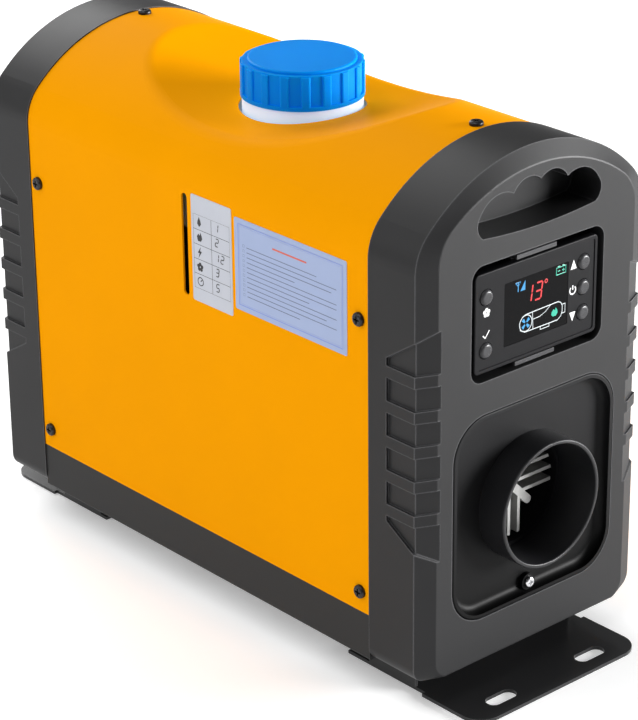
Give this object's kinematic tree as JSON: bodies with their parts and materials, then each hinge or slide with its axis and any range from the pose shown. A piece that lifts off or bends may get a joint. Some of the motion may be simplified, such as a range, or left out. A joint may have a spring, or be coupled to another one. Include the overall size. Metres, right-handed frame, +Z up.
{
  "type": "diesel air heater",
  "caption": "Arched floor-standing diesel air heater: painted cover between grip-ribbed end mouldings, screw filler cap on a dished top, key panel, round warm-air collar, slotted foot brackets.",
  "frame": {"origin": "on the ground under the middle of the case, centre of the bounding box's bottom face", "axes": "+Z up; -Y is the front face with the key panel and the warm-air collar; +Y runs along the case to the rear; +X is the viewer's right when facing the front"},
  "size_m": [0.1748, 0.4366, 0.3205],
  "materials": {
    "case_paint": "satin amber paint",
    "cap_plastic": "fine-grain moulded plastic, dark grey",
    "tray_plastic": "fine-grain moulded plastic, dark grey",
    "black_steel": "gloss black paint on folded sheet",
    "dark_screw": "black oxide",
    "zinc": "zinc plated",
    "shroud_plastic": "half-gloss black moulding",
    "collar_plastic": "half-gloss black moulding",
    "chrome_screw": "bright",
    "black_plastic": "half-gloss black",
    "lens": "polished dark window",
    "circuit": "green laminate",
    "button_plastic": "half-gloss dark grey",
    "grey_plastic": "plain grey",
    "label_film": "plain silver-grey film",
    "notice_film": "plain pale blue film",
    "tank_plastic": "natural blow-moulded plastic",
    "blue_plastic": "half-gloss blue",
    "rubber": "matt black",
    "brass": "turned",
    "filter_plastic": "clear moulding",
    "cast_aluminium": "cast",
    "stainless": "plain",
    "gasket_board": "fibre board",
    "magnet": "sintered magnet ring",
    "fan_plastic": "plain black",
    "cable": "smooth jacket"
  },
  "bodies": {
    "case": {"cover": "case_paint", "front_cap": "cap_plastic", "rear_cap": "cap_plastic", "base_tray": "tray_plastic", "front_bracket": "black_steel", "rear_bracket": "black_steel", "cover_screws": "dark_screw", "case_screws": "dark_screw", "hex_screws": "zinc", "bracket_nuts": "zinc", "duct_shroud": "shroud_plastic", "outlet_collar": "collar_plastic", "collar_screw": "chrome_screw", "controller_shell": "black_plastic", "controller_bezel": "black_plastic", "display_lens": "lens", "display_board": "circuit", "controller_clips": "grey_plastic", "rating_label": "label_film", "notice_label": "notice_film", "fuel_tank": "tank_plastic", "tank_cradle": "zinc", "tank_outlet": "brass", "fuel_filter": "filter_plastic", "fuel_pump": "zinc", "pump_clamp": "rubber", "fuel_lines": "rubber", "lower_casing": "black_plastic", "upper_casing": "black_plastic", "heat_exchanger": "cast_aluminium", "burner_tube": "stainless", "burner_head": "stainless", "glow_plug": "stainless", "fuel_inlet": "brass", "heat_sensor": "brass", "foot_gasket": "gasket_board", "exhaust_stub": "stainless", "air_stub": "cast_aluminium", "blower_body": "cast_aluminium", "blower_plate": "cast_aluminium", "motor_can": "zinc", "motor_bearings": "brass", "motor_stator": "magnet", "control_board": "circuit", "board_screws": "zinc", "power_socket": "black_plastic", "power_cable": "cable", "display_cable": "cable", "intake_duct": "fan_plastic", "rear_grille": "shroud_plastic"},
    "cap_seal": {"cap_gasket": "rubber"},
    "cap": {"filler_cap": "blue_plastic"},
    "rotor": {"motor_rotor": "stainless", "combustion_impeller": "cast_aluminium", "circulation_fan": "fan_plastic"},
    "key_fan": {"button_fan": "button_plastic"},
    "key_ok": {"button_ok": "button_plastic"},
    "key_up": {"button_up": "button_plastic"},
    "key_power": {"button_power": "button_plastic"},
    "key_down": {"button_down": "button_plastic"}
  },
  "joints": [
    {"name": "cap_lift", "type": "slide", "parent": "case", "child": "cap_seal", "axis": [0, 0, 1], "range_m": [0, 0.015]},
    {"name": "cap_turn", "type": "hinge", "parent": "cap_seal", "child": "cap", "pos_m": [0, -0.002, 0.3], "axis": [0, 0, 1], "range_deg": [0, 900]},
    {"name": "rotor_spin", "type": "hinge", "parent": "case", "child": "rotor", "pos_m": [0, 0.08, 0.1102], "axis": [0, 1, 0], "continuous": true},
    {"name": "press_fan", "type": "slide", "parent": "case", "child": "key_fan", "axis": [0, 1, 0], "range_m": [0, 0.0008], "stiffness_N_per_m": 900},
    {"name": "press_ok", "type": "slide", "parent": "case", "child": "key_ok", "axis": [0, 1, 0], "range_m": [0, 0.0008], "stiffness_N_per_m": 900},
    {"name": "press_up", "type": "slide", "parent": "case", "child": "key_up", "axis": [0, 1, 0], "range_m": [0, 0.0008], "stiffness_N_per_m": 900},
    {"name": "press_power", "type": "slide", "parent": "case", "child": "key_power", "axis": [0, 1, 0], "range_m": [0, 0.0008], "stiffness_N_per_m": 900},
    {"name": "press_down", "type": "slide", "parent": "case", "child": "key_down", "axis": [0, 1, 0], "range_m": [0, 0.0008], "stiffness_N_per_m": 900}
  ],
  "couplings": [
    {"joint": "cap_lift", "follows": "cap_turn", "m_per_rad": 0.00095493}
  ]
}
